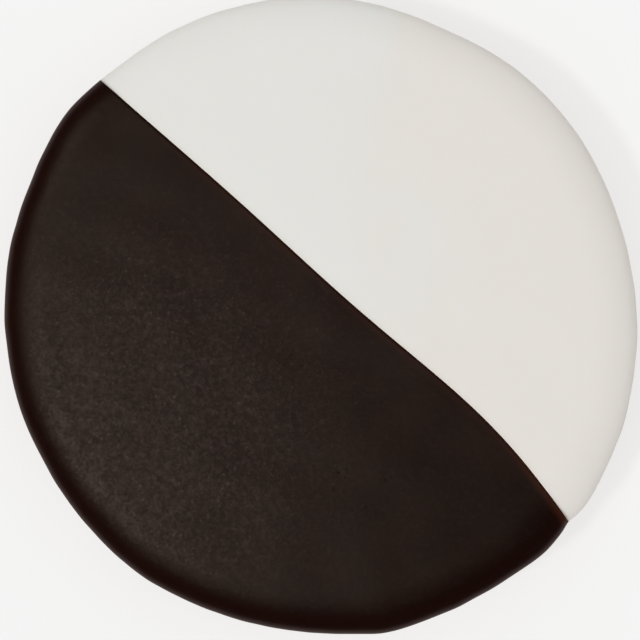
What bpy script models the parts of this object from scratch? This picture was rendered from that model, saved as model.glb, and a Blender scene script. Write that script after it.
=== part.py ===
"""A black and white cookie: a round drop cake, domed side down, with two icings on its flat side.

One half of the flat side carries dark chocolate icing and the other half white icing. They meet
along a gently curved line through the middle, roll over the cake's edge and end in a rounded lip
on its side. The origin is at the bottom centre, where the dome has a small flat foot, and +Z is up.
"""

import math

import bmesh
import bpy

MM = 0.001

# Driving dimensions of the whole cookie
MEAN_RADIUS = 54.0 * MM
COOKIE_HEIGHT = 17.0 * MM
GAP = 0.3 * MM

# The outline seen from above is a soft oval with small ripples.
# Each wave is (crests round the cookie, height, bearing of a crest in degrees from +X).
OUTLINE_WAVES = (
    (2, 0.82 * MM, 131.5),
    (4, 0.17 * MM, 45.0),
    (6, 0.10 * MM, 38.0),
    (7, 0.11 * MM, 34.0),
)

# The icing's upper side is slightly crowned and rolls over at the rim as a quarter ellipse
CROWN_DROP = 1.2 * MM
ROLL_WIDTH = 8.0 * MM
ROLL_DROP = 3.5 * MM

# The icing's lip turns back under its widest line and ends in a round edge on the cake's side
LIP_INSET = 1.2 * MM
LIP_DROP = 1.8 * MM
LIP_WAVES = (
    (3, 0.25 * MM, 200.0),
    (5, 0.22 * MM, 70.0),
    (11, 0.12 * MM, 15.0),
)
ICING_THICKNESS = 1.8 * MM
INNER_ROLL_DROP = 2.6 * MM

# The cake's side swells out below the icing's lip, then turns in as a dome to a flat foot
SWELL_START_HEIGHT = 9.8 * MM
WIDEST_HEIGHT = 7.4 * MM
WIDEST_INSET = 1.1 * MM
FOOT_RADIUS = 25.0 * MM
DOME_FULLNESS = 2.2
FOOT_WAVES = (
    (2, 1.2 * MM, 60.0),
    (3, 0.9 * MM, 10.0),
    (5, 0.5 * MM, 100.0),
)

# The line between the icings runs between two points of the outline.
# It bows towards the white icing by a sum of half waves: (half waves along the line, height).
SEAM_START = (-37.4 * MM, 39.9 * MM)
SEAM_END = (41.8 * MM, -34.7 * MM)
SEAM_BOWS = (
    (1, 2.1 * MM),
    (2, -0.9 * MM),
    (3, 0.6 * MM),
    (4, -0.2 * MM),
)
SEAM_STEPS = 36
SEAM_OVERRUN = 15.0 * MM
CUTTER_REACH = 90.0 * MM
CUTTER_TOP = 30.0 * MM

# Fineness of the solids
BEARING_STEPS = 96
FLAT_RINGS = 4
ROLL_RINGS = 6
LIP_RINGS = 4
SWELL_RINGS = 4
DOME_RINGS = 8

SMOOTH_ANGLE = math.radians(40.0)

# Colours, linear
CAKE_COLOUR = (0.52, 0.30, 0.12, 1.0)
WHITE_COLOUR = (0.80, 0.79, 0.73, 1.0)
CHOCOLATE_COLOUR = (0.021, 0.012, 0.009, 1.0)


def clear_scene():
    """Remove every object that the file opened with."""
    for thing in list(bpy.data.objects):
        bpy.data.objects.remove(thing, do_unlink=True)


def wave_sum(bearing, waves):
    """Height of a sum of cosine waves at a bearing."""
    return sum(height * math.cos(crests * (bearing - math.radians(crest_bearing)))
               for crests, height, crest_bearing in waves)


def outline_radius(bearing):
    """Radius of the cookie's widest line, which is the icing's rim."""
    return MEAN_RADIUS + wave_sum(bearing, OUTLINE_WAVES)


def bearings():
    """Bearings of the ring points, once round."""
    return [math.tau * step / BEARING_STEPS for step in range(BEARING_STEPS)]


def ring(radius_of, height_of):
    """One closed ring of points, from a radius and a height at each bearing."""
    return [(radius_of(bearing) * math.cos(bearing),
             radius_of(bearing) * math.sin(bearing),
             height_of(bearing)) for bearing in bearings()]


def crown_height(radius, bearing):
    """Height of the crowned top, before the rim's roll, at a radius."""
    return COOKIE_HEIGHT - CROWN_DROP * (radius / outline_radius(bearing)) ** 2


def top_rings(depth, inset, roll_width, roll_drop):
    """Rings of the crowned top and its rolled rim, from the middle outwards.

    depth is how far the surface lies under the icing's upper side, and inset how far the
    roll's outer end lies inside the outline.
    """
    rings = []

    def add_ring(radius_of, drop):
        rings.append(ring(radius_of,
                          lambda bearing: crown_height(radius_of(bearing), bearing) - depth - drop))

    for step in range(1, FLAT_RINGS + 1):
        share = step / FLAT_RINGS
        add_ring(lambda bearing, share=share:
                 share * (outline_radius(bearing) - inset - roll_width), 0.0)
    for step in range(1, ROLL_RINGS + 1):
        turn = 0.5 * math.pi * step / ROLL_RINGS
        pulled_in = inset + roll_width * (1.0 - math.sin(turn))
        add_ring(lambda bearing, pulled_in=pulled_in: outline_radius(bearing) - pulled_in,
                 roll_drop * (1.0 - math.cos(turn)))
    return rings


def rim_height():
    """Height of the icing's widest line."""
    return COOKIE_HEIGHT - CROWN_DROP - ROLL_DROP


def lip_rings():
    """Rings of the icing's lip, from its widest line down and back to the cake's side."""
    rings = []
    for step in range(1, LIP_RINGS + 1):
        turn = 0.5 * math.pi * step / LIP_RINGS
        pulled_in = LIP_INSET * (1.0 - math.cos(turn))
        rings.append(ring(
            lambda bearing, pulled_in=pulled_in: outline_radius(bearing) - pulled_in,
            lambda bearing, turn=turn:
                rim_height() - (LIP_DROP + wave_sum(bearing, LIP_WAVES)) * math.sin(turn)))
    return rings


def swell_rings(side_inset):
    """Rings of the cake's side, from under the icing's lip out to the cake's widest line."""
    rings = []
    for step in range(SWELL_RINGS + 1):
        share = step / SWELL_RINGS
        ease = 0.5 * (1.0 - math.cos(math.pi * share))
        pulled_in = side_inset + (WIDEST_INSET - side_inset) * ease
        height = SWELL_START_HEIGHT + (WIDEST_HEIGHT - SWELL_START_HEIGHT) * share
        rings.append(ring(lambda bearing, pulled_in=pulled_in: outline_radius(bearing) - pulled_in,
                          lambda bearing, height=height: height))
    return rings


def dome_rings():
    """Rings of the cake's underside, from below its widest line in to the edge of the flat foot."""
    rings = []
    for step in range(1, DOME_RINGS + 1):
        turn = 0.5 * math.pi * step / DOME_RINGS
        outward = math.cos(turn) ** (2.0 / DOME_FULLNESS)
        downward = math.sin(turn) ** (2.0 / DOME_FULLNESS)

        def radius_of(bearing, outward=outward):
            side = outline_radius(bearing) - WIDEST_INSET
            foot = FOOT_RADIUS + wave_sum(bearing, FOOT_WAVES)
            return foot + (side - foot) * outward

        height = WIDEST_HEIGHT * (1.0 - downward)
        rings.append(ring(radius_of, lambda bearing, height=height: height))
    return rings


def loft(name, rings, first_height, last_height):
    """A closed mesh through the rings, with a point in the middle of each end."""
    shape = bmesh.new()
    loops = [[shape.verts.new(point) for point in points] for points in rings]
    first = shape.verts.new((0.0, 0.0, first_height))
    last = shape.verts.new((0.0, 0.0, last_height))
    for step in range(BEARING_STEPS):
        after = (step + 1) % BEARING_STEPS
        shape.faces.new((first, loops[0][step], loops[0][after]))
        for inner, outer in zip(loops, loops[1:]):
            shape.faces.new((inner[step], outer[step], outer[after], inner[after]))
        shape.faces.new((last, loops[-1][after], loops[-1][step]))
    bmesh.ops.recalc_face_normals(shape, faces=shape.faces)
    mesh = bpy.data.meshes.new(name)
    shape.to_mesh(mesh)
    shape.free()
    return mesh


def add_object(name, mesh, material):
    """Put a mesh in the scene under its node's name, shaded smooth."""
    thing = bpy.data.objects.new(name, mesh)
    bpy.context.scene.collection.objects.link(thing)
    if material is not None:
        mesh.materials.append(material)
        mesh.shade_smooth()
        mesh.set_sharp_from_angle(angle=SMOOTH_ANGLE)
    return thing


def make_material(name, colour, roughness):
    """A plain Principled BSDF material; nothing on a cookie is metal."""
    material = bpy.data.materials.new(name)
    material.use_nodes = True
    shader = material.node_tree.nodes["Principled BSDF"]
    shader.inputs["Base Color"].default_value = colour
    shader.inputs["Roughness"].default_value = roughness
    shader.inputs["Metallic"].default_value = 0.0
    return material


def make_cake():
    """The drop cake under the icings: rolled edge at the top, full side, dome and flat foot."""
    side_inset = LIP_INSET + GAP
    roll_width = ROLL_WIDTH - LIP_INSET
    depth = ICING_THICKNESS + GAP
    rings = top_rings(depth, side_inset, roll_width, INNER_ROLL_DROP)
    rings = rings + swell_rings(side_inset) + dome_rings()
    mesh = loft("cookie_base", rings, COOKIE_HEIGHT - depth, 0.0)
    return add_object("cookie_base", mesh, make_material("baked_cake", CAKE_COLOUR, 0.75))


def icing_cap(name):
    """The skin of icing over the whole top, before it is divided: a closed shell with a lip."""
    roll_width = ROLL_WIDTH - LIP_INSET
    upper = top_rings(0.0, 0.0, ROLL_WIDTH, ROLL_DROP)
    under = top_rings(ICING_THICKNESS, LIP_INSET, roll_width, INNER_ROLL_DROP)
    rings = upper + lip_rings() + under[::-1]
    return loft(name, rings, COOKIE_HEIGHT, COOKIE_HEIGHT - ICING_THICKNESS)


def seam_points(shift):
    """The dividing line seen from above, run on past the rim, moved by shift to the white side."""
    along_x = SEAM_END[0] - SEAM_START[0]
    along_y = SEAM_END[1] - SEAM_START[1]
    length = math.hypot(along_x, along_y)
    along = (along_x / length, along_y / length)
    to_white = (-along[1], along[0])
    points = []
    for step in range(SEAM_STEPS + 1):
        share = step / SEAM_STEPS
        bow = shift + sum(height * math.sin(half_waves * math.pi * share)
                          for half_waves, height in SEAM_BOWS)
        points.append((SEAM_START[0] + along[0] * length * share + to_white[0] * bow,
                       SEAM_START[1] + along[1] * length * share + to_white[1] * bow))
    return [run_on(points[1], points[0])] + points + [run_on(points[-2], points[-1])]


def run_on(behind, end):
    """A point straight on from the end of the line, outside the cookie."""
    step_x = end[0] - behind[0]
    step_y = end[1] - behind[1]
    scale = SEAM_OVERRUN / math.hypot(step_x, step_y)
    return (end[0] + step_x * scale, end[1] + step_y * scale)


def chocolate_side_cutter(name, shift):
    """A block over the chocolate half, whose inner wall is the dividing line moved by shift."""
    line = seam_points(shift)
    far_corner_end = (line[-1][0] - CUTTER_REACH, line[-1][1] - CUTTER_REACH)
    far_corner_start = (line[0][0] - CUTTER_REACH, line[0][1] - CUTTER_REACH)
    corners = line + [far_corner_end, far_corner_start]
    shape = bmesh.new()
    floor = shape.faces.new([shape.verts.new((x, y, -GAP)) for x, y in corners])
    walls = bmesh.ops.extrude_face_region(shape, geom=[floor])
    raised = [item for item in walls["geom"] if isinstance(item, bmesh.types.BMVert)]
    bmesh.ops.translate(shape, verts=raised, vec=(0.0, 0.0, CUTTER_TOP))
    bmesh.ops.triangulate(shape, faces=shape.faces)
    bmesh.ops.recalc_face_normals(shape, faces=shape.faces)
    mesh = bpy.data.meshes.new(name)
    shape.to_mesh(mesh)
    shape.free()
    cutter = add_object(name, mesh, None)
    cutter.hide_render = True
    cutter.display_type = "WIRE"
    return cutter


def make_icing(name, material, operation, cutter):
    """One half of the icing: the whole cap, cut along the dividing line."""
    icing = add_object(name, icing_cap(name), material)
    cut = icing.modifiers.new("dividing_line", "BOOLEAN")
    cut.operation = operation
    cut.object = cutter
    cut.solver = "EXACT"
    return icing


def main():
    clear_scene()
    make_cake()
    chocolate_cutter = chocolate_side_cutter("chocolate_half", 0.0)
    white_cutter = chocolate_side_cutter("chocolate_half_and_gap", GAP)
    make_icing("chocolate_icing", make_material("chocolate_icing", CHOCOLATE_COLOUR, 0.35),
               "INTERSECT", chocolate_cutter)
    make_icing("white_icing", make_material("white_icing", WHITE_COLOUR, 0.40),
               "DIFFERENCE", white_cutter)


main()
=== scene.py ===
"""Looks of a black and white cookie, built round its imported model.

Three finely modelled pieces stand for the three solids: the white icing, the chocolate icing,
whose rounded front edge lies on the white, and the baked cake under both. Lengths are metres in
the model's frame: +Z up, the origin at the bottom centre, bearings counted from +X towards +Y.
"""

import math

import bmesh
import bpy
import numpy as np
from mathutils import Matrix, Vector, noise


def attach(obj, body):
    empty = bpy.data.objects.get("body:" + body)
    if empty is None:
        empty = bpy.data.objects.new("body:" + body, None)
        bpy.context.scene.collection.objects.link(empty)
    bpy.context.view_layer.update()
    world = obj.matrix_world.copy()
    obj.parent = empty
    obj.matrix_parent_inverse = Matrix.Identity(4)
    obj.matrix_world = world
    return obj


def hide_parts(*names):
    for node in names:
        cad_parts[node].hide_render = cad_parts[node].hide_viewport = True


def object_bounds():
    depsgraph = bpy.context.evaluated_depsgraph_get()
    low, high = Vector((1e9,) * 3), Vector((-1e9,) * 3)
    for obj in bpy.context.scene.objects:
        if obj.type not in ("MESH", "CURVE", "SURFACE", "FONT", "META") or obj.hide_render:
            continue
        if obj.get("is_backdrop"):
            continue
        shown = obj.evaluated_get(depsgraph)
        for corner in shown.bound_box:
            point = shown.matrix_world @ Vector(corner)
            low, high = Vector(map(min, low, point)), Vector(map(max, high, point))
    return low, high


MM = 0.001
QUARTER_TURN = 0.5 * math.pi

# The whole cookie, as the solids have it. Waves are (crests round the cookie, height, bearing of
# a crest in degrees), and the bows of the dividing line are (half waves along it, height).
MEAN_RADIUS = 54.0 * MM
COOKIE_HEIGHT = 17.0 * MM
OUTLINE_WAVES = (
    (2, 0.82 * MM, 131.5),
    (4, 0.17 * MM, 45.0),
    (6, 0.10 * MM, 38.0),
    (7, 0.11 * MM, 34.0),
)
CROWN_DROP = 1.2 * MM
ROLL_WIDTH = 8.0 * MM
ROLL_DROP = 3.5 * MM
LIP_INSET = 1.2 * MM
LIP_DROP = 1.8 * MM
LIP_WAVES = (
    (3, 0.25 * MM, 200.0),
    (5, 0.22 * MM, 70.0),
    (11, 0.12 * MM, 15.0),
)
ICING_THICKNESS = 1.8 * MM
INNER_ROLL_DROP = 2.6 * MM
SWELL_START_HEIGHT = 9.8 * MM
WIDEST_HEIGHT = 7.4 * MM
WIDEST_INSET = 1.1 * MM
FOOT_RADIUS = 25.0 * MM
DOME_FULLNESS = 2.2
FOOT_WAVES = (
    (2, 1.2 * MM, 60.0),
    (3, 0.9 * MM, 10.0),
    (5, 0.5 * MM, 100.0),
)
SEAM_START = (-37.4 * MM, 39.9 * MM)
SEAM_END = (41.8 * MM, -34.7 * MM)
SEAM_BOWS = (
    (1, 2.1 * MM),
    (2, -0.9 * MM),
    (3, 0.6 * MM),
    (4, -0.2 * MM),
)

# Bulges and dents of the rim, too small for the solids: (bearing, width in degrees, height)
RIM_BULGES = (
    (27.0, 14.0, -0.32 * MM),
    (68.0, 11.0, -0.40 * MM),
    (127.0, 6.0, -0.38 * MM),
    (141.5, 5.0, 0.28 * MM),
    (157.0, 8.0, -0.30 * MM),
    (195.0, 8.0, 0.12 * MM),
    (207.0, 4.0, -0.14 * MM),
    (235.0, 6.0, 0.17 * MM),
    (282.0, 5.5, 0.48 * MM),
    (299.0, 6.0, -0.24 * MM),
    (313.5, 4.5, 0.46 * MM),
    (320.2, 1.5, -0.30 * MM),
    (325.5, 5.0, 0.35 * MM),
    (348.0, 5.0, -0.20 * MM),
)

# How full the roll of each icing is: 2 is a quarter of an ellipse and more is squarer
WHITE_FULLNESS = 2.0
CHOCOLATE_FULLNESS = 2.5

# How finely the icings are modelled. The search for a parallel line's end runs from inside the
# rim to past it, by shares of the dividing line's length.
FAN_COLUMNS = 320
FLAT_STATIONS = 62
ROLL_STATIONS = 22
LIP_STATIONS = 9
STRIP_WIDTH = 3.2 * MM
WARP_FADE = 0.3
RIM_SEARCH = 0.2
RIM_OVERRUN = 0.03
RIM_SAMPLES = 400

# The chocolate's front edge, a rounded bead on the white that settles lower behind it, and the
# white's feathered edge under it
BEAD_WIDTH = 0.55 * MM
BEAD_HEIGHT = 0.14 * MM
BEAD_ROWS = 8
BEAD_SINK = 0.03 * MM
UNDERSIDE_SINK = 2.0 * BEAD_SINK
BEAD_SETTLED_HEIGHT = 0.06 * MM
BEAD_SETTLE_WIDTH = 12.0 * MM
BEAD_ROWS_BEHIND = (0.75 * MM, 1.0 * MM, 1.4 * MM, 1.9 * MM, 2.5 * MM)
WHITE_OVERLAP = 3.0 * MM
WHITE_ROWS = (-3.0 * MM, -2.2 * MM, -1.4 * MM, -0.8 * MM, -0.4 * MM, -0.15 * MM, 0.0,
              0.15 * MM, 0.4 * MM, 0.8 * MM, 1.4 * MM, 2.2 * MM)
FEATHER_DEPTH = 0.85

# Unevenness of the icings: slow swells all over and shorter ripples at the rim, and in the
# chocolate two shallow hollows and two small ridges, (x, y, length, width, height, bearing of the
# length in degrees)
RELIEF_WAVES = 18
SWELL_SEED = 11
SWELL_HEIGHT = 0.022 * MM
SWELL_LENGTHS = (9.0 * MM, 34.0 * MM)
RIPPLE_SEED = 23
RIPPLE_HEIGHT = 0.020 * MM
RIPPLE_LENGTHS = (3.5 * MM, 9.0 * MM)
RIPPLE_WIDTH = 4.0 * MM
MARKS = (
    (3.0 * MM, -26.4 * MM, 0.60 * MM, 0.50 * MM, -0.04 * MM, 20.0),
    (11.2 * MM, -27.4 * MM, 0.80 * MM, 0.50 * MM, -0.04 * MM, 20.0),
    (-37.2 * MM, 34.0 * MM, 0.60 * MM, 0.30 * MM, 0.05 * MM, 0.0),
    (15.6 * MM, -48.5 * MM, 2.60 * MM, 0.40 * MM, 0.05 * MM, 12.0),
)

# Bubbles that burst in the chocolate while it set: (x, y, radius)
BUBBLES = (
    (2.9 * MM, -26.4 * MM, 0.42 * MM),
    (4.3 * MM, -26.0 * MM, 0.32 * MM),
    (4.0 * MM, -27.1 * MM, 0.30 * MM),
    (2.1 * MM, -29.2 * MM, 0.32 * MM),
    (3.9 * MM, -29.6 * MM, 0.34 * MM),
    (10.7 * MM, -27.6 * MM, 0.38 * MM),
    (11.8 * MM, -27.2 * MM, 0.32 * MM),
    (7.4 * MM, -32.3 * MM, 0.28 * MM),
)

# How finely the cake is modelled, and its crust's relief. A pore's depth and reach count in its
# own radii.
CAKE_COLUMNS = 600
CAKE_TOP_STATIONS = 10
CAKE_ROLL_STATIONS = 10
CAKE_SIDE_STATIONS = 22
CAKE_DOME_STATIONS = 64
CAKE_FOOT_STATIONS = 26
CRUST_LUMP_LENGTH = 6.0 * MM
CRUST_LUMP_HEIGHT = 0.26 * MM
CRUST_GRAIN_LENGTH = 1.7 * MM
CRUST_GRAIN_HEIGHT = 0.11 * MM
CRUST_GRAIN_OCTAVES = 3
FOOT_RELIEF = 0.15
RELIEF_FADE = 1.2 * MM
PORE_SEED = 5
PORE_COUNT = 900
PORE_RADIUS = (0.25 * MM, 0.80 * MM)
PORE_DEPTH = 0.50
PORE_REACH = 2.0
PORE_FALL = 2.0

# Room left between the cake and the icing on it, which the lip closes
CONTACT = 0.12 * MM
CAKE_TOP_DEPTH = ICING_THICKNESS + CONTACT
CAKE_SIDE_INSET = LIP_INSET + CONTACT
CAKE_ROLL_WIDTH = ROLL_WIDTH - LIP_INSET

# Camera: straight above, the frame 108.7 mm wide at the height of the cookie's widest line
CAMERA_X = -0.20 * MM
CAMERA_Y = -0.74 * MM
FRAME_WIDTH = 108.7 * MM
SENSOR_WIDTH = 36.0
LENS = 150.0

# Colours, linear
WHITE_WARM = (0.835, 0.798, 0.752, 1.0)
WHITE_COOL = (0.830, 0.822, 0.785, 1.0)
# Painted shade: the white's rim, browner and darker
WHITE_RIM_SHADE = (0.740, 0.680, 0.610, 1.0)
WHITE_STAIN = (0.700, 0.600, 0.470, 1.0)
CHOCOLATE_DARK = (0.0080, 0.0020, 0.0009, 1.0)
CHOCOLATE_LIGHT = (0.0106, 0.0031, 0.0016, 1.0)
# Painted shade: the chocolate's dark band inside the rim
CHOCOLATE_RIM_SHADE = (0.0098, 0.0013, 0.0005, 1.0)
# Painted sheen and glints: the lighter grain and crystals of the bloom
CHOCOLATE_SHEEN_SPECK = (0.0174, 0.0080, 0.0073, 1.0)
CHOCOLATE_SUGAR_GLINT = (0.0430, 0.0310, 0.0290, 1.0)
CHOCOLATE_THIN = (0.0420, 0.0080, 0.0022, 1.0)
# Painted shade in the burst bubbles
CHOCOLATE_PIT_SHADE = (0.0030, 0.0010, 0.0005, 1.0)
CHOCOLATE_GLOSS = (1.0, 0.80, 0.67, 1.0)
CRUST_PALE = (0.660, 0.450, 0.215, 1.0)
CRUST_GOLD = (0.520, 0.290, 0.100, 1.0)
CRUST_BROWN = (0.290, 0.125, 0.036, 1.0)
# Painted shade in the crust's pores and hollows
CRUST_PORE_SHADE = (0.140, 0.055, 0.018, 1.0)

# In the looks below a length is the size of a noise's features, a band runs from one distance to
# another, and a range is the part of a noise that is stretched to its full effect
MIDDLE_RANGE = (0.35, 0.65)
WIDE_RANGE = (0.30, 0.70)

# White icing: warmer on the right, stained beside the chocolate, and browner and darker at the rim
# as painted shade
WHITE_WARM_BAND = (2.0 * MM, 24.0 * MM)
WHITE_PATCH_LENGTH = 22.0 * MM
WHITE_PATCH_SHIFT = 6.0 * MM
WHITE_STAIN_WIDTH = 1.0 * MM
WHITE_STAIN_SHARE = 0.22
WHITE_RIM_SHADE_BAND = (0.2 * MM, 2.0 * MM)
WHITE_RIM_SHADE_SHARE = 0.20
WHITE_SOFT_LENGTH = 2.6 * MM
WHITE_SOFT_HEIGHT = 0.02 * MM
WHITE_GRAIN_LENGTH = 0.35 * MM
WHITE_GRAIN_HEIGHT = 0.006 * MM
WHITE_SHEEN_LENGTH = 6.0 * MM
WHITE_ROUGHNESS = (0.40, 0.52)
WHITE_SPECULAR = 0.35
WHITE_SCATTER = 0.12
WHITE_SCATTER_COLOUR = (1.0, 0.85, 0.65)
WHITE_SCATTER_DEPTH = 1.2 * MM

# Chocolate icing: darker in a band inside the rim as painted shade, and thin and red-brown at the
# very rim and where its front edge runs out near the lower right end of the dividing line
CHOCOLATE_PATCH_LENGTH = 9.0 * MM
RIM_SHADE_BAND = (2.0 * MM, 6.0 * MM)
THIN_RIM_BAND = (0.1 * MM, 1.2 * MM)
THIN_RIM_SHARE = 0.5
THIN_SEAM_BAND = (0.2 * MM, 1.8 * MM)
THIN_SEAM_SHARE = 0.9
THIN_SEAM_ELSEWHERE = 0.4
THIN_SEAM_END = (26.0 * MM, 40.0 * MM)
THIN_SEAM_FADE = (-34.0 * MM, -18.0 * MM)

# Sugar bloom dulls the chocolate in a patch at the lower left with fine grain and tiny crystals,
# which are painted lighter there as sheen and glints
BLOOM_AND_SHEEN_CENTRE = (-31.0 * MM, -18.0 * MM)
BLOOM_AND_SHEEN_RADII = (8.0 * MM, 45.0 * MM)
BLOOM_AND_SHEEN_ELSEWHERE = 0.18
BLOOM_AND_SHEEN_RIM_BAND = (2.0 * MM, 5.2 * MM)
GRAIN_RANGE = (0.42, 0.62)
FINE_GRAIN_LENGTH = 0.55 * MM
FINE_GRAIN_SHARES = (-0.20, 0.70)
COARSE_GRAIN_LENGTH = 1.1 * MM
COARSE_GRAIN_SHARES = (-0.20, 0.60)
CRYSTAL_CLUSTERS = (0.45, 0.70)
CRYSTAL_SPACING = 0.9 * MM
CRYSTAL_SIZE = (0.10, 0.35)
CRYSTAL_SHARE = 0.8

# Burst bubbles are painted dark as shade in their hollows, and are dull, unevenly so. A spot fades
# out round its radius.
SPOT_FADE = (0.4, 1.4)
PIT_LENGTH = 0.45 * MM
PIT_RANGE = (0.35, 0.60)
PIT_SHARES = (0.15, 0.80)
PIT_ROUGHNESS = 0.20

# The chocolate's sheen, smoothest behind its front edge
SMOOTH_FRONT_BAND = (1.0 * MM, 12.0 * MM)
SMOOTH_FRONT_SHARE = 0.2
ROUGH_ELSEWHERE = 0.42
CHOCOLATE_SOFT_LENGTH = 5.0 * MM
CHOCOLATE_SOFT_HEIGHT = 0.015 * MM
CHOCOLATE_GRAIN_HEIGHT = 0.025 * MM
CHOCOLATE_ROUGHNESS = 0.345
SHEEN_LENGTHS = (0.62 * MM, 1.3 * MM)
SHEEN_SWING = 0.034
CHOCOLATE_SPECULAR = 0.40

# Baked crust: golden low down, browned in patches, in streaks and on its lumps, and darker in its
# pores and hollows as painted shade
GOLDEN_BAND = (3.0 * MM, 9.5 * MM)
CRUST_PATCH_LENGTH = 11.0 * MM
CRUST_PATCH_RANGE = (0.35, 0.68)
CRUST_PATCH_SHARES = (0.25, 0.80)
CRUST_STREAK_LENGTH = 3.2 * MM
CRUST_STREAK_RANGE = (0.40, 0.68)
CRUST_STREAK_SHARE = 0.40
RAISED_BAND = (0.05 * MM, 0.30 * MM)
RAISED_SHARE = 0.35
SUNK_SHADE_BAND = (-0.45 * MM, -0.12 * MM)
SUNK_SHADE_SHARE = 0.40
CRUMB_LENGTH = 0.55 * MM
CRUMB_HEIGHT = 0.16 * MM
CRUMB_BROWN_RANGE = (0.52, 0.74)
CRUMB_BROWN_SHARE = 0.55
CRUMB_PALE_RANGE = (0.26, 0.42)
CRUMB_PALE_SHARE = 0.35
CRUST_ROUGHNESS = (0.82, 0.68)
CRUST_SPECULAR = 0.25

# Floor: its own grey, its glow to the camera and to other rays, and its level in the gloss
FLOOR_SIZE = 4.0
FLOOR_GAP = 0.02 * MM
FLOOR_GREY = 0.262
FLOOR_GLOW = 0.665
FLOOR_BOUNCE = 0.90
FLOOR_GLOSS = 0.38

# Light. The key is a weak soft sun high on the left, and the sky fills in, dark at the horizon and
# bright overhead. The gloss sees neither, only soft boxes high on the left in a dark room.
KEY_BEARING = 200.0
KEY_ELEVATION = 57.5
KEY_STRENGTH = 0.875
KEY_ANGLE = 8.0
FILL_LOW = 0.01
FILL_HIGH = 1.05
ROOM_LEVEL = 0.012
BACKDROP = 0.905

# Each soft box in the gloss: bearing, elevation, inner and outer radius in degrees, and level
BOXES = (
    (212.0, 72.0, 3.0, 16.0, 1.95),
    (212.0, 80.0, 6.0, 26.0, 0.15),
    (185.0, 54.0, 3.0, 13.0, 0.5),
    (150.0, 57.0, 3.0, 12.0, 1.5),
)


def wave_sum(bearing, waves):
    """Height of a sum of cosine waves at each bearing."""
    return sum(height * np.cos(crests * (bearing - math.radians(crest_bearing)))
               for crests, height, crest_bearing in waves)


def bulge_sum(bearing):
    """Height of the rim's single bulges and dents at each bearing."""
    total = 0.0
    for middle, width, height in RIM_BULGES:
        away = np.degrees(bearing) - middle
        away = (away + 180.0) % 360.0 - 180.0
        total = total + height * np.exp(-(away / width) ** 2)
    return total


def outline_radius(bearing):
    """Radius of the cookie's widest line, which is the icing's rim."""
    return MEAN_RADIUS + wave_sum(bearing, OUTLINE_WAVES) + bulge_sum(bearing)


def crown_height(radius, bearing):
    """Height of the crowned top, before the rim's roll, at a radius."""
    return COOKIE_HEIGHT - CROWN_DROP * (radius / outline_radius(bearing)) ** 2


def seam_frame():
    """The chord of the dividing line: its length, its direction and the direction to the white."""
    along = np.array(SEAM_END) - np.array(SEAM_START)
    length = np.hypot(*along)
    along = along / length
    return length, along, np.array((-along[1], along[0]))


def seam_bow(share):
    """How far the dividing line lies from its chord; it runs on straight past both ends."""
    inside = np.clip(share, 0.0, 1.0)
    bow = sum(height * np.sin(waves * math.pi * inside) for waves, height in SEAM_BOWS)
    slope = sum(height * waves * math.pi * np.cos(waves * math.pi * inside)
                for waves, height in SEAM_BOWS)
    return bow + slope * (share - inside)


def seam_line(share, side, distance):
    """Points at a distance from the dividing line; side is 1 for the white and -1 for chocolate."""
    length, along, to_white = seam_frame()
    across = seam_bow(share) + side * distance
    return (SEAM_START[0] + along[0] * length * share + to_white[0] * across,
            SEAM_START[1] + along[1] * length * share + to_white[1] * across)


def seam_distance(x, y):
    """Distance from the dividing line, positive in the white."""
    length, along, to_white = seam_frame()
    share = ((x - SEAM_START[0]) * along[0] + (y - SEAM_START[1]) * along[1]) / length
    across = (x - SEAM_START[0]) * to_white[0] + (y - SEAM_START[1]) * to_white[1]
    return across - seam_bow(share)


def smooth_step(value, low, high):
    """0 below low and 1 above high, with a smooth change between."""
    share = np.clip((value - low) / (high - low), 0.0, 1.0)
    return share * share * (3.0 - 2.0 * share)


def swell(x, y, seed, lengths):
    """Slow unevenness of about unit height: plane waves in all directions, drawn from a seed."""
    draw = np.random.default_rng(seed)
    total = np.zeros_like(x)
    for _ in range(RELIEF_WAVES):
        heading = draw.uniform(0.0, math.tau)
        wave_number = math.tau / draw.uniform(*lengths)
        phase = draw.uniform(0.0, math.tau)
        total += np.cos(wave_number * (x * math.cos(heading) + y * math.sin(heading)) + phase)
    return total / math.sqrt(0.5 * RELIEF_WAVES)


def marks(x, y):
    """Height of the small pits and ridges of the chocolate at each point."""
    total = np.zeros_like(x)
    for mark_x, mark_y, length, width, height, heading in MARKS:
        turn = math.radians(heading)
        along = (x - mark_x) * math.cos(turn) + (y - mark_y) * math.sin(turn)
        across = (y - mark_y) * math.cos(turn) - (x - mark_x) * math.sin(turn)
        total += height * np.exp(-(along / length) ** 2 - (across / width) ** 2)
    return total


def strip_half_line(side, distance, end, flat_shares, roll_turns):
    """Flat and roll points of a line parallel to the dividing line, from its middle to one end."""
    span = np.linspace(RIM_SEARCH, -RIM_OVERRUN, RIM_SAMPLES)
    shares = span if end == 0 else 1.0 - span
    x, y = seam_line(shares, side, distance)
    insets = outline_radius(np.arctan2(y, x)) - np.hypot(x, y)
    roll_insets = ROLL_WIDTH * (1.0 - np.sin(roll_turns))
    roll_shares = np.interp(roll_insets, insets[::-1], shares[::-1])
    flat_end = np.interp(ROLL_WIDTH, insets[::-1], shares[::-1])
    middle = 0.5
    all_shares = np.concatenate([middle + (flat_end - middle) * flat_shares, roll_shares])
    return seam_line(all_shares, side, distance)


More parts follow.
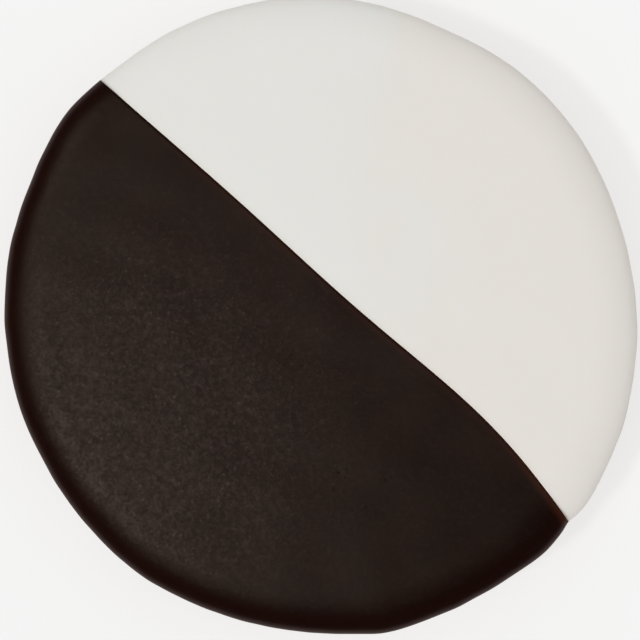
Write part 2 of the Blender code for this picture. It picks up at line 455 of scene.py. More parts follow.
def fan_columns(side, ends, flat_shares, roll_turns):
    """Flat and roll points of the columns that fan out from the middle of the inmost strip line."""
    first = strip_half_line(side, STRIP_WIDTH, ends[0], flat_shares, roll_turns)
    last = strip_half_line(side, STRIP_WIDTH, ends[1], flat_shares, roll_turns)
    flat_count = len(flat_shares)
    pole = (first[0][0], first[1][0])
    first_bearings = np.arctan2(first[1], first[0])
    last_bearings = np.unwrap(np.arctan2(last[1], last[0]))
    roll_start = flat_count - 1
    first_bearing = first_bearings[roll_start] % math.tau
    last_bearing = last_bearings[roll_start] % math.tau
    if last_bearing < first_bearing:
        first_bearing -= math.tau
    column = np.linspace(0.0, 1.0, FAN_COLUMNS + 1)[:, None]
    bearing = first_bearing + (last_bearing - first_bearing) * column
    near_first = 1.0 - smooth_step(column, 0.0, WARP_FADE)
    near_last = smooth_step(column, 1.0 - WARP_FADE, 1.0)

    start_radius = outline_radius(bearing) - ROLL_WIDTH
    flat_x = pole[0] + (start_radius * np.cos(bearing) - pole[0]) * flat_shares
    flat_y = pole[1] + (start_radius * np.sin(bearing) - pole[1]) * flat_shares
    for line, near, row in ((first, near_first, 0), (last, near_last, -1)):
        flat_x = flat_x + near * (line[0][:flat_count] - flat_x[row])
        flat_y = flat_y + near * (line[1][:flat_count] - flat_y[row])

    first_shift = np.unwrap(first_bearings)[flat_count:] - np.unwrap(first_bearings)[roll_start]
    last_shift = last_bearings[flat_count:] - last_bearings[roll_start]
    roll_bearing = bearing + near_first * first_shift + near_last * last_shift
    roll_radius = outline_radius(roll_bearing) - ROLL_WIDTH * (1.0 - np.sin(roll_turns))
    return (np.concatenate([flat_x, roll_radius * np.cos(roll_bearing)], axis=1),
            np.concatenate([flat_y, roll_radius * np.sin(roll_bearing)], axis=1))


def station_turns(count):
    """Turns of the stations along a quarter round, its start left out."""
    return QUARTER_TURN * np.arange(1, count + 1) / count


def half_layout(side, row_distances):
    """Points of one icing half from above, as columns that run from the middle out to the rim.

    The columns turn with growing bearing: the lines beside the seam's first end, the fan, then
    the lines beside its last end. Also gives the number of each column's middle point.
    """
    flat_shares = np.linspace(0.0, 1.0, FLAT_STATIONS + 1)
    roll_turns = station_turns(ROLL_STATIONS)
    ends = (0, 1) if side < 0 else (1, 0)
    first = [strip_half_line(side, distance, ends[0], flat_shares, roll_turns)
             for distance in row_distances]
    last = [strip_half_line(side, distance, ends[1], flat_shares, roll_turns)
            for distance in row_distances]
    fan_x, fan_y = fan_columns(side, ends, flat_shares, roll_turns)
    x = np.concatenate([[line[0] for line in first], fan_x, [line[0] for line in last[::-1]]])
    y = np.concatenate([[line[1] for line in first], fan_y, [line[1] for line in last[::-1]]])
    rows = list(range(len(row_distances)))
    middles = rows + [len(rows)] * (FAN_COLUMNS + 1) + rows[::-1]
    return x, y, np.array(middles)


def roll_rows(x, y, fullness):
    """The flat and roll stations of the icing's two surfaces.

    Gives the bearing, the outer radius and height, the inner radius and height, and the outer
    surface's outward direction as its radial and its upward share.
    """
    bearing = np.arctan2(y, x)
    radius = np.hypot(x, y)
    turn = np.concatenate([np.zeros(FLAT_STATIONS + 1), station_turns(ROLL_STATIONS)])
    on_roll = np.arange(len(turn)) > FLAT_STATIONS
    spread = np.sin(turn)
    left = 1.0 - spread ** fullness
    outer_z = crown_height(radius, bearing) - ROLL_DROP * (1.0 - left ** (1.0 / fullness))
    rim = outline_radius(bearing)
    inner_roll_radius = rim - LIP_INSET - (ROLL_WIDTH - LIP_INSET) * (1.0 - np.sin(turn))
    inner_radius = np.where(on_roll, inner_roll_radius, radius)
    inner_z = (crown_height(inner_radius, bearing) - ICING_THICKNESS
               - INNER_ROLL_DROP * (1.0 - np.cos(turn)))
    fall = ROLL_DROP * spread ** (fullness - 1.0)
    run = ROLL_WIDTH * left ** (1.0 - 1.0 / fullness)
    steep = np.hypot(fall, run)
    out_radial = fall / steep + np.zeros_like(x)
    out_up = run / steep + np.zeros_like(x)
    return bearing, radius, outer_z, inner_radius, inner_z, out_radial, out_up


def lip_rows(bearing, outer_z, inner_radius, inner_z):
    """The lip's stations, given as roll_rows does, going on from each column's last station."""
    turn = station_turns(LIP_STATIONS)
    bearing = np.repeat(bearing[:, -1:], LIP_STATIONS, axis=1)
    drop = LIP_DROP + wave_sum(bearing, LIP_WAVES)
    radius = outline_radius(bearing) - LIP_INSET * (1.0 - np.cos(turn))
    lip_z = outer_z[:, -1:] - drop * np.sin(turn)
    lip_inner_radius = np.repeat(inner_radius[:, -1:], LIP_STATIONS, axis=1) - CONTACT
    bottom = lip_z[:, -1:] + CONTACT
    lip_inner_z = inner_z[:, -1:] + (bottom - inner_z[:, -1:]) * turn / turn[-1]
    steep = np.hypot(drop * np.cos(turn), LIP_INSET * np.sin(turn))
    out_radial = drop * np.cos(turn) / steep
    out_up = -LIP_INSET * np.sin(turn) / steep
    return bearing, radius, lip_z, lip_inner_radius, lip_inner_z, out_radial, out_up


def icing_sheets(x, y, fullness):
    """Outer and inner surface of the icing, and the outer surface's outward direction.

    x and y hold the flat and roll stations; the lip's stations are added here.
    """
    roll = roll_rows(x, y, fullness)
    lip = lip_rows(roll[0], roll[2], roll[3], roll[4])
    bearing, radius, outer_z, inner_radius, inner_z, out_radial, out_up = (
        np.concatenate(rows, axis=1) for rows in zip(roll, lip))

    def points(radial, height):
        return np.stack([radial * np.cos(bearing), radial * np.sin(bearing), height], axis=2)

    return points(radius, outer_z), points(inner_radius, inner_z), points(out_radial, out_up)


def skin_faces(index, sheet_size):
    """Faces of an icing half: both sheets, the band round the rim and the two ends.

    index holds the outer sheet's points by column and station; the inner sheet's come after them.
    """
    columns, stations = index.shape
    faces = []
    for column in range(columns - 1):
        for station in range(stations - 1):
            corners = (index[column, station], index[column, station + 1],
                       index[column + 1, station + 1], index[column + 1, station])
            if corners[0] == corners[3]:
                corners = corners[:3]
            faces.append(corners)
            faces.append([corner + sheet_size for corner in corners[::-1]])
        rim = (index[column, -1], index[column + 1, -1])
        faces.append((rim[0], rim[0] + sheet_size, rim[1] + sheet_size, rim[1]))
    for column, turned in ((0, False), (columns - 1, True)):
        for station in range(stations - 1):
            edge = (index[column, station], index[column, station + 1])
            face = (edge[0], edge[0] + sheet_size, edge[1] + sheet_size, edge[1])
            faces.append(face[::-1] if turned else face)
    return [[int(corner) for corner in face] for face in faces]


def build_half(name, top, under, middles, attributes):
    """Mesh of an icing half from its two sheets of columns, closed at the rim and at the front."""
    columns, stations = top.shape[:2]
    index = np.arange(columns * stations).reshape(columns, stations)
    index[:, 0] = columns * stations + middles
    middle_count = middles.max() + 1
    sheet_size = columns * stations + middle_count

    def sheet_points(sheet):
        middle_points = np.zeros((middle_count, 3))
        middle_points[middles] = sheet[:, 0]
        return np.concatenate([sheet.reshape(-1, 3), middle_points])

    mesh = bpy.data.meshes.new(name)
    vertices = np.concatenate([sheet_points(top), sheet_points(under)])
    mesh.from_pydata(vertices.tolist(), [], skin_faces(index, sheet_size))
    for attribute_name, values in attributes.items():
        padded = np.zeros(sheet_size)
        padded[:columns * stations] = values.reshape(-1)
        padded[columns * stations + middles] = values[:, 0]
        add_attribute(mesh, attribute_name, np.concatenate([padded, padded]))
    tidy_mesh(mesh)
    return mesh


def add_attribute(mesh, name, values):
    """Give each point of a mesh a number that its material can read."""
    layer = mesh.attributes.new(name, "FLOAT", "POINT")
    layer.data.foreach_set("value", values.astype(np.float32))


def tidy_mesh(mesh):
    """Drop points that no face uses and turn all faces outwards, shaded smooth."""
    shape = bmesh.new()
    shape.from_mesh(mesh)
    loose = [vertex for vertex in shape.verts if not vertex.link_faces]
    bmesh.ops.delete(shape, geom=loose, context="VERTS")
    bmesh.ops.recalc_face_normals(shape, faces=shape.faces)
    shape.to_mesh(mesh)
    shape.free()
    mesh.shade_smooth()


def add_piece(name, mesh, material, node):
    """Put a finished piece in the scene in place of its solid."""
    piece = bpy.data.objects.new(name, mesh)
    bpy.context.scene.collection.objects.link(piece)
    mesh.materials.append(material)
    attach(piece, "root")
    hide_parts(node)
    return piece


def shared_relief(outer):
    """Unevenness that both icings follow: slow swells all over and shorter ripples at the rim."""
    x, y = outer[:, :, 0], outer[:, :, 1]
    near_rim = 1.0 - smooth_step(rim_distance(outer), 0.0, RIPPLE_WIDTH)
    ripples = RIPPLE_HEIGHT * near_rim * swell(x, y, RIPPLE_SEED, RIPPLE_LENGTHS)
    return SWELL_HEIGHT * swell(x, y, SWELL_SEED, SWELL_LENGTHS) + ripples


def feather(distance):
    """Share of the icing's thickness by which the white's edge lies lower under the chocolate."""
    return FEATHER_DEPTH * smooth_step(distance, 0.0, WHITE_OVERLAP)


def rim_distance(outer):
    """Distance of each point inside the outline, seen from above."""
    x, y = outer[:, :, 0], outer[:, :, 1]
    return outline_radius(np.arctan2(y, x)) - np.hypot(x, y)


def make_white_icing():
    """The white half, whose edge is feathered where it runs on under the chocolate."""
    x, y, middles = half_layout(1, WHITE_ROWS)
    outer, inner, outward = icing_sheets(x, y, WHITE_FULLNESS)
    distance = seam_distance(outer[:, :, 0], outer[:, :, 1])
    lowered = feather(-distance)[:, :, None]
    relief = shared_relief(outer)[:, :, None]
    top = outer + (inner - outer) * lowered + outward * relief * (1.0 - lowered)
    mesh = build_half("white_icing_skin", top, inner, middles, {
        "seam_distance": distance,
        "rim_distance": rim_distance(outer),
    })
    return add_piece("white_icing_skin", mesh, white_material(), "white_icing")


def chocolate_rows():
    """Distances from the dividing line of the lines that round the chocolate's front edge."""
    turns = QUARTER_TURN * np.arange(BEAD_ROWS) / (BEAD_ROWS - 1)
    return list(BEAD_WIDTH * (1.0 - np.cos(turns))) + list(BEAD_ROWS_BEHIND)


def bead_height(distance):
    """How far the chocolate stands proud at a distance behind its front edge."""
    share = np.clip(1.0 - distance / BEAD_WIDTH, 0.0, 1.0)
    front = (BEAD_HEIGHT + BEAD_SINK) * np.sqrt(1.0 - share * share) - BEAD_SINK
    settled = smooth_step(distance, BEAD_WIDTH, BEAD_WIDTH + BEAD_SETTLE_WIDTH)
    return front + (BEAD_SETTLED_HEIGHT - BEAD_HEIGHT) * settled


def make_chocolate_icing():
    """The chocolate half, whose rounded front edge lies on the white."""
    x, y, middles = half_layout(-1, chocolate_rows())
    outer, inner, outward = icing_sheets(x, y, CHOCOLATE_FULLNESS)
    behind = np.maximum(-seam_distance(outer[:, :, 0], outer[:, :, 1]), 0.0)
    rim_fade = smooth_step(rim_distance(outer), 0.0, ROLL_WIDTH)
    relief = shared_relief(outer) + marks(outer[:, :, 0], outer[:, :, 1])
    top = outer + outward * (relief + bead_height(behind) * rim_fade)[:, :, None]
    sunk = feather(behind) + UNDERSIDE_SINK / ICING_THICKNESS
    under_share = np.where(behind < WHITE_OVERLAP, np.minimum(sunk, 1.0), 1.0)[:, :, None]
    under = outer + (inner - outer) * under_share
    mesh = build_half("chocolate_icing_skin", top, under, middles, {
        "seam_distance": behind,
        "rim_distance": rim_distance(outer),
    })
    return add_piece("chocolate_icing_skin", mesh, chocolate_material(), "chocolate_icing")


def crowned_station(share, pulled_in, drop):
    """A station of the cake's top: a share of the way out, and a drop below the crowned top."""
    def place(bearing):
        radius = share * (outline_radius(bearing) - pulled_in)
        return radius, crown_height(radius, bearing) - CAKE_TOP_DEPTH - drop
    return place


def side_station(share):
    """A station of the cake's side, a share of the way down from the icing to the widest line."""
    ease = 0.5 * (1.0 - math.cos(math.pi * share))
    pulled_in = CAKE_SIDE_INSET + (WIDEST_INSET - CAKE_SIDE_INSET) * ease
    height = SWELL_START_HEIGHT + (WIDEST_HEIGHT - SWELL_START_HEIGHT) * share
    return lambda bearing: (outline_radius(bearing) - pulled_in, height + 0.0 * bearing)


def foot_outline(bearing):
    """Radius of the flat foot at each bearing."""
    return FOOT_RADIUS + wave_sum(bearing, FOOT_WAVES)


def dome_station(turn):
    """A station of the dome, which turns in from the widest line to the flat foot."""
    outward = math.cos(turn) ** (2.0 / DOME_FULLNESS)
    downward = math.sin(turn) ** (2.0 / DOME_FULLNESS)

    def place(bearing):
        widest = outline_radius(bearing) - WIDEST_INSET
        foot = foot_outline(bearing)
        return (foot + (widest - foot) * outward,
                WIDEST_HEIGHT * (1.0 - downward) + 0.0 * bearing)
    return place


def foot_station(share):
    """A station of the flat foot, a share of the way out."""
    return lambda bearing: (share * foot_outline(bearing), 0.0 * bearing)


def cake_profile():
    """Stations of the cake from the middle of its top round to the middle of its foot.

    Each station is a function that gives the radius and the height at each bearing.
    """
    stations = [crowned_station(step / CAKE_TOP_STATIONS, CAKE_SIDE_INSET + CAKE_ROLL_WIDTH, 0.0)
                for step in range(1, CAKE_TOP_STATIONS + 1)]
    for turn in station_turns(CAKE_ROLL_STATIONS):
        pulled_in = CAKE_SIDE_INSET + CAKE_ROLL_WIDTH * (1.0 - math.sin(turn))
        drop = INNER_ROLL_DROP * (1.0 - math.cos(turn))
        stations.append(crowned_station(1.0, pulled_in, drop))
    stations += [side_station(step / CAKE_SIDE_STATIONS)
                 for step in range(CAKE_SIDE_STATIONS + 1)]
    stations += [dome_station(turn) for turn in station_turns(CAKE_DOME_STATIONS)]
    stations += [foot_station(step / CAKE_FOOT_STATIONS)
                 for step in range(CAKE_FOOT_STATIONS - 1, 0, -1)]
    return stations


def crust_relief(points):
    """Height of the crust's lumps, grain and pores at each point."""
    heights = np.empty(len(points))
    for row, point in enumerate(points):
        place = Vector(point)
        lump = noise.noise(place / CRUST_LUMP_LENGTH)
        grain = noise.fractal(place / CRUST_GRAIN_LENGTH, 1.0, 2.0, CRUST_GRAIN_OCTAVES)
        heights[row] = CRUST_LUMP_HEIGHT * lump + CRUST_GRAIN_HEIGHT * grain
    draw = np.random.default_rng(PORE_SEED)
    centres = points[draw.choice(len(points), PORE_COUNT, replace=False)]
    for centre in centres:
        radius = draw.uniform(*PORE_RADIUS)
        away = ((points - centre) ** 2).sum(axis=1) / radius ** 2
        near = away < PORE_REACH ** 2
        heights[near] -= PORE_DEPTH * radius * np.exp(-PORE_FALL * away[near])
    return heights


def cake_faces(ring_count):
    """Faces between the cake's rings, and the fans that close its top and its foot."""
    top_index = ring_count * CAKE_COLUMNS
    foot_index = top_index + 1
    faces = []
    for column in range(CAKE_COLUMNS):
        after = (column + 1) % CAKE_COLUMNS
        faces.append((top_index, column, after))
        for ring in range(ring_count - 1):
            start = ring * CAKE_COLUMNS
            below = start + CAKE_COLUMNS
            faces.append((start + column, below + column, below + after, start + after))
        last = (ring_count - 1) * CAKE_COLUMNS
        faces.append((foot_index, last + after, last + column))
    return faces


def roughen_cake(mesh, vertices):
    """Move the crust's points by its relief, which fades under the icing and at the foot."""
    normals = np.empty(len(mesh.vertices) * 3)
    mesh.vertices.foreach_get("normal", normals)
    normals = normals.reshape(-1, 3)
    under_icing = smooth_step(vertices[:, 2], SWELL_START_HEIGHT, SWELL_START_HEIGHT + RELIEF_FADE)
    off_floor = smooth_step(vertices[:, 2], 0.0, RELIEF_FADE)
    heights = (crust_relief(vertices) * (1.0 - under_icing)
               * (FOOT_RELIEF + (1.0 - FOOT_RELIEF) * off_floor))
    add_attribute(mesh, "crust_height", heights)
    moved = vertices + normals * heights[:, None]
    moved[:, 2] = np.maximum(moved[:, 2], 0.0)
    mesh.vertices.foreach_set("co", moved.reshape(-1))
    mesh.update()


def make_cake():
    """The baked cake under both icings."""
    bearing = math.tau * np.arange(CAKE_COLUMNS) / CAKE_COLUMNS
    stations = [place(bearing) for place in cake_profile()]
    rings = np.array([np.stack([radius * np.cos(bearing), radius * np.sin(bearing), height], axis=1)
                      for radius, height in stations])
    top = (0.0, 0.0, COOKIE_HEIGHT - ICING_THICKNESS - CONTACT)
    vertices = np.concatenate([rings.reshape(-1, 3), [top, (0.0, 0.0, 0.0)]])
    mesh = bpy.data.meshes.new("cake_crust")
    mesh.from_pydata(vertices.tolist(), [], cake_faces(len(rings)))
    tidy_mesh(mesh)
    roughen_cake(mesh, vertices)
    return add_piece("cake_crust", mesh, cake_material(), "cookie_base")


class Nodes:
    """Short ways to add shader nodes to one material."""

    def __init__(self, name):
        self.material = bpy.data.materials.new(name)
        self.material.use_nodes = True
        self.tree = self.material.node_tree
        self.shader = self.tree.nodes["Principled BSDF"]
        self.place = self.add("ShaderNodeTexCoord").outputs["Object"]

    def add(self, kind, **settings):
        node = self.tree.nodes.new(kind)
        for setting, value in settings.items():
            setattr(node, setting, value)
        return node

    def link(self, source, target):
        self.tree.links.new(source, target)

    def noise(self, feature, detail=2.0, roughness=0.5):
        """Noise with features of the given size in metres."""
        node = self.add("ShaderNodeTexNoise")
        self.link(self.place, node.inputs["Vector"])
        node.inputs["Scale"].default_value = 1.0 / feature
        node.inputs["Detail"].default_value = detail
        node.inputs["Roughness"].default_value = roughness
        return node.outputs["Fac"]

    def dots(self, feature):
        """Distance from scattered points that lie about the given size in metres apart."""
        node = self.add("ShaderNodeTexVoronoi")
        self.link(self.place, node.inputs["Vector"])
        node.inputs["Scale"].default_value = 1.0 / feature
        return node.outputs["Distance"]

    def distance(self, x, y):
        """Distance from an upright line, as seen from above."""
        flat = self.add("ShaderNodeVectorMath", operation="MULTIPLY")
        self.link(self.place, flat.inputs[0])
        flat.inputs[1].default_value = (1.0, 1.0, 0.0)
        node = self.add("ShaderNodeVectorMath", operation="DISTANCE")
        self.link(flat.outputs["Vector"], node.inputs[0])
        node.inputs[1].default_value = (x, y, 0.0)
        return node.outputs["Value"]

    def spots(self, places):
        """1 in the middle of each soft round spot (x, y, radius), and 0 outside them."""
        inner, outer = SPOT_FADE
        total = None
        for x, y, radius in places:
            spot = self.remap(self.distance(x, y), inner * radius, outer * radius, 1.0, 0.0)
            total = spot if total is None else self.maths("MAXIMUM", total, spot)
        return total

    def along(self, axis):
        """Place along one of the model's axes."""
        node = self.add("ShaderNodeSeparateXYZ")
        self.link(self.place, node.inputs["Vector"])
        return node.outputs[axis]

    def attribute(self, name):
        """A number that the mesh gives each of its points."""
        return self.add("ShaderNodeAttribute", attribute_name=name).outputs["Fac"]

    def remap(self, value, low, high, to_low=0.0, to_high=1.0):
        """The value carried over from one range to another, with a smooth change between."""
        node = self.add("ShaderNodeMapRange", interpolation_type="SMOOTHSTEP")
        self.link(value, node.inputs["Value"])
        node.inputs["From Min"].default_value = low
        node.inputs["From Max"].default_value = high
        node.inputs["To Min"].default_value = to_low
        node.inputs["To Max"].default_value = to_high
        return node.outputs["Result"]

    def maths(self, operation, first, second):
        """Result of an operation on two inputs, each a number or a socket."""
        node = self.add("ShaderNodeMath", operation=operation)
        for socket, value in zip(node.inputs, (first, second)):
            if isinstance(value, float):
                socket.default_value = value
            else:
                self.link(value, socket)
        return node.outputs["Value"]

    def mix(self, share, first, second):
        """Colour mixed from two colours, each a value or a socket."""
        node = self.add("ShaderNodeMix", data_type="RGBA")
        self.link(share, node.inputs[0])
        for socket, colour in ((node.inputs[6], first), (node.inputs[7], second)):
            if isinstance(colour, tuple):
                socket.default_value = colour
            else:
                self.link(colour, socket)
        return node.outputs[2]

    def bump(self, height, distance, normal=None):
        """Surface direction bent by a height map, whose full height is the distance."""
        node = self.add("ShaderNodeBump")
        self.link(height, node.inputs["Height"])
        node.inputs["Distance"].default_value = distance
        node.inputs["Strength"].default_value = 1.0
        if normal is not None:
            self.link(normal, node.inputs["Normal"])
        return node.outputs["Normal"]

    def set(self, **values):
        """Link sockets and set numbers on the shader's own inputs, by name."""
        for name, value in values.items():
            socket = self.shader.inputs[name.replace("_", " ")]
            if isinstance(value, bpy.types.NodeSocket):
                self.link(value, socket)
            else:
                socket.default_value = value


def white_material():
    """Set white icing: satin, faintly warmer and cooler in slow patches, stained at the seam, with
    painted shade at the rim.
    """
    nodes = Nodes("white_icing_satin")
    shift = nodes.remap(nodes.noise(WHITE_PATCH_LENGTH), *MIDDLE_RANGE,
                        -WHITE_PATCH_SHIFT, WHITE_PATCH_SHIFT)
    warmed = nodes.remap(nodes.maths("ADD", nodes.along("X"), shift), *WHITE_WARM_BAND)
    colour = nodes.mix(warmed, WHITE_COOL, WHITE_WARM)
    stain = nodes.remap(nodes.attribute("seam_distance"), 0.0, WHITE_STAIN_WIDTH,
                        WHITE_STAIN_SHARE, 0.0)
    colour = nodes.mix(stain, colour, WHITE_STAIN)
    # Painted shade: the white turns browner and darker towards its rim
    thin = nodes.remap(nodes.attribute("rim_distance"), *WHITE_RIM_SHADE_BAND, WHITE_RIM_SHADE_SHARE, 0.0)
    colour = nodes.mix(thin, colour, WHITE_RIM_SHADE)
    soft = nodes.bump(nodes.noise(WHITE_SOFT_LENGTH), WHITE_SOFT_HEIGHT)
    grain = nodes.bump(nodes.noise(WHITE_GRAIN_LENGTH), WHITE_GRAIN_HEIGHT, soft)
    roughness = nodes.remap(nodes.noise(WHITE_SHEEN_LENGTH), *WIDE_RANGE, *WHITE_ROUGHNESS)
    nodes.set(Base_Color=colour, Roughness=roughness, Normal=grain,
              Specular_IOR_Level=WHITE_SPECULAR, Subsurface_Weight=WHITE_SCATTER,
              Subsurface_Radius=WHITE_SCATTER_COLOUR, Subsurface_Scale=WHITE_SCATTER_DEPTH)
    return nodes.material


def thin_share(nodes, from_seam, from_rim):
    """How thin the chocolate is: at its rim, and at its front edge towards the lower right end."""
    near_end = nodes.remap(nodes.along("X"), *THIN_SEAM_END, THIN_SEAM_ELSEWHERE, 1.0)
    past_start = nodes.remap(nodes.along("X"), *THIN_SEAM_FADE)
    place = nodes.maths("MULTIPLY", near_end, past_start)
    at_seam = nodes.remap(from_seam, *THIN_SEAM_BAND, THIN_SEAM_SHARE, 0.0)
    at_rim = nodes.remap(from_rim, *THIN_RIM_BAND, THIN_RIM_SHARE, 0.0)
    return nodes.maths("MAXIMUM", nodes.maths("MULTIPLY", at_seam, place), at_rim)


def bloom_grain_and_glints(nodes, colour, coarse, bloom_and_sheen):
    """The colour with fine grain and clusters of sugar crystals, painted lighter as sheen and
    glints, as far as the patch reaches.
    """
    fine = nodes.noise(FINE_GRAIN_LENGTH, detail=1.0)
    grain = nodes.maths("ADD", nodes.remap(fine, *GRAIN_RANGE, *FINE_GRAIN_SHARES),
                        nodes.remap(coarse, *GRAIN_RANGE, *COARSE_GRAIN_SHARES))
    grain = nodes.maths("MAXIMUM", grain, 0.0)
    colour = nodes.mix(nodes.maths("MULTIPLY", grain, bloom_and_sheen), colour, CHOCOLATE_SHEEN_SPECK)
    clusters = nodes.maths("MULTIPLY", nodes.remap(coarse, *CRYSTAL_CLUSTERS), bloom_and_sheen)
    crystals = nodes.remap(nodes.dots(CRYSTAL_SPACING), *CRYSTAL_SIZE, CRYSTAL_SHARE, 0.0)
    return nodes.mix(nodes.maths("MULTIPLY", crystals, clusters), colour, CHOCOLATE_SUGAR_GLINT)


def pit_and_shade_share(nodes):
    """Where bubbles burst, with painted shade darkening them unevenly."""
    uneven = nodes.remap(nodes.noise(PIT_LENGTH, detail=1.0), *PIT_RANGE, *PIT_SHARES)
    return nodes.maths("MULTIPLY", nodes.spots(BUBBLES), uneven)


def chocolate_roughness(nodes, rough_share, pit_and_shade):
    """Roughness of the chocolate, varied by two sizes of grain and duller in the pits."""
    first, second = (nodes.remap(nodes.noise(length, detail=1.0), *MIDDLE_RANGE,
                                 -SHEEN_SWING, SHEEN_SWING) for length in SHEEN_LENGTHS)
    varied = nodes.maths("MULTIPLY", nodes.maths("ADD", first, second), rough_share)
    roughness = nodes.maths("ADD", varied, CHOCOLATE_ROUGHNESS)
    return nodes.maths("ADD", roughness, nodes.maths("MULTIPLY", pit_and_shade, PIT_ROUGHNESS))


def chocolate_material():
    """Set chocolate icing: dark and satin, dulled where its sugar is blooming, its grain and
    crystals painted lighter there as sheen and glints, with painted shade at the rim and in burst
    bubbles, red-brown where thin.
    """
    nodes = Nodes("chocolate_icing_satin")
    from_seam = nodes.attribute("seam_distance")
    from_rim = nodes.attribute("rim_distance")
    patches = nodes.remap(nodes.noise(CHOCOLATE_PATCH_LENGTH, detail=3.0), *MIDDLE_RANGE)
    colour = nodes.mix(patches, CHOCOLATE_DARK, CHOCOLATE_LIGHT)
    # Painted shade: darker in a band inside the rim
    colour = nodes.mix(nodes.remap(from_rim, *RIM_SHADE_BAND, 1.0, 0.0), colour, CHOCOLATE_RIM_SHADE)
    colour = nodes.mix(thin_share(nodes, from_seam, from_rim), colour, CHOCOLATE_THIN)

    # The bloom's patch, where grain and crystals are painted lighter as sheen and glints
    bloom_and_sheen = nodes.remap(nodes.distance(*BLOOM_AND_SHEEN_CENTRE), *BLOOM_AND_SHEEN_RADII, 1.0, BLOOM_AND_SHEEN_ELSEWHERE)
    bloom_and_sheen = nodes.maths("MULTIPLY", bloom_and_sheen, nodes.remap(from_rim, *BLOOM_AND_SHEEN_RIM_BAND))
    coarse = nodes.noise(COARSE_GRAIN_LENGTH)
    pit_and_shade = pit_and_shade_share(nodes)
    # Painted shade: the burst bubbles darkened
    colour = nodes.mix(pit_and_shade, bloom_grain_and_glints(nodes, colour, coarse, bloom_and_sheen), CHOCOLATE_PIT_SHADE)

    smooth_front = nodes.remap(from_seam, *SMOOTH_FRONT_BAND, SMOOTH_FRONT_SHARE, 1.0)
    rough_share = nodes.maths("MULTIPLY", nodes.remap(bloom_and_sheen, 0.0, 1.0, ROUGH_ELSEWHERE, 1.0),
                              smooth_front)
    soft = nodes.bump(nodes.noise(CHOCOLATE_SOFT_LENGTH), CHOCOLATE_SOFT_HEIGHT)
    grain = nodes.bump(nodes.maths("MULTIPLY", coarse, rough_share), CHOCOLATE_GRAIN_HEIGHT, soft)
    nodes.set(Base_Color=colour, Roughness=chocolate_roughness(nodes, rough_share, pit_and_shade),
              Normal=grain, Specular_IOR_Level=CHOCOLATE_SPECULAR,
              Specular_Tint=CHOCOLATE_GLOSS)
    return nodes.material


def cake_material():
    """Baked cake: pale at the side, golden on the dome, browned in patches, with painted shade in
    the pores.
    """
    nodes = Nodes("baked_cake")
    low = nodes.remap(nodes.along("Z"), *GOLDEN_BAND, 1.0, 0.0)
    patches = nodes.remap(nodes.noise(CRUST_PATCH_LENGTH, detail=4.0, roughness=0.6),
                          *CRUST_PATCH_RANGE)
    streaks = nodes.remap(nodes.noise(CRUST_STREAK_LENGTH, detail=4.0, roughness=0.65),
                          *CRUST_STREAK_RANGE)
    colour = nodes.mix(low, CRUST_PALE, CRUST_GOLD)
    toasted = nodes.maths("MULTIPLY", nodes.remap(low, 0.0, 1.0, *CRUST_PATCH_SHARES), patches)
    colour = nodes.mix(toasted, colour, CRUST_BROWN)
    colour = nodes.mix(nodes.maths("MULTIPLY", streaks, CRUST_STREAK_SHARE), colour, CRUST_BROWN)
    height = nodes.attribute("crust_height")
    raised = nodes.remap(height, *RAISED_BAND, 0.0, RAISED_SHARE)
    colour = nodes.mix(raised, colour, CRUST_BROWN)
    # Painted shade: darker where the crust sinks into pores and hollows
    sunk = nodes.remap(height, *SUNK_SHADE_BAND, SUNK_SHADE_SHARE, 0.0)
    colour = nodes.mix(sunk, colour, CRUST_PORE_SHADE)
    crumb = nodes.noise(CRUMB_LENGTH, detail=3.0, roughness=0.6)
    brown = nodes.remap(crumb, *CRUMB_BROWN_RANGE, 0.0, CRUMB_BROWN_SHARE)
    colour = nodes.mix(brown, colour, CRUST_BROWN)
    pale = nodes.remap(crumb, *CRUMB_PALE_RANGE, CRUMB_PALE_SHARE, 0.0)
    colour = nodes.mix(pale, colour, CRUST_PALE)
    roughness = nodes.remap(patches, 0.0, 1.0, *CRUST_ROUGHNESS)
    nodes.set(Base_Color=colour, Roughness=roughness, Normal=nodes.bump(crumb, CRUMB_HEIGHT),
              Specular_IOR_Level=CRUST_SPECULAR)
    return nodes.material


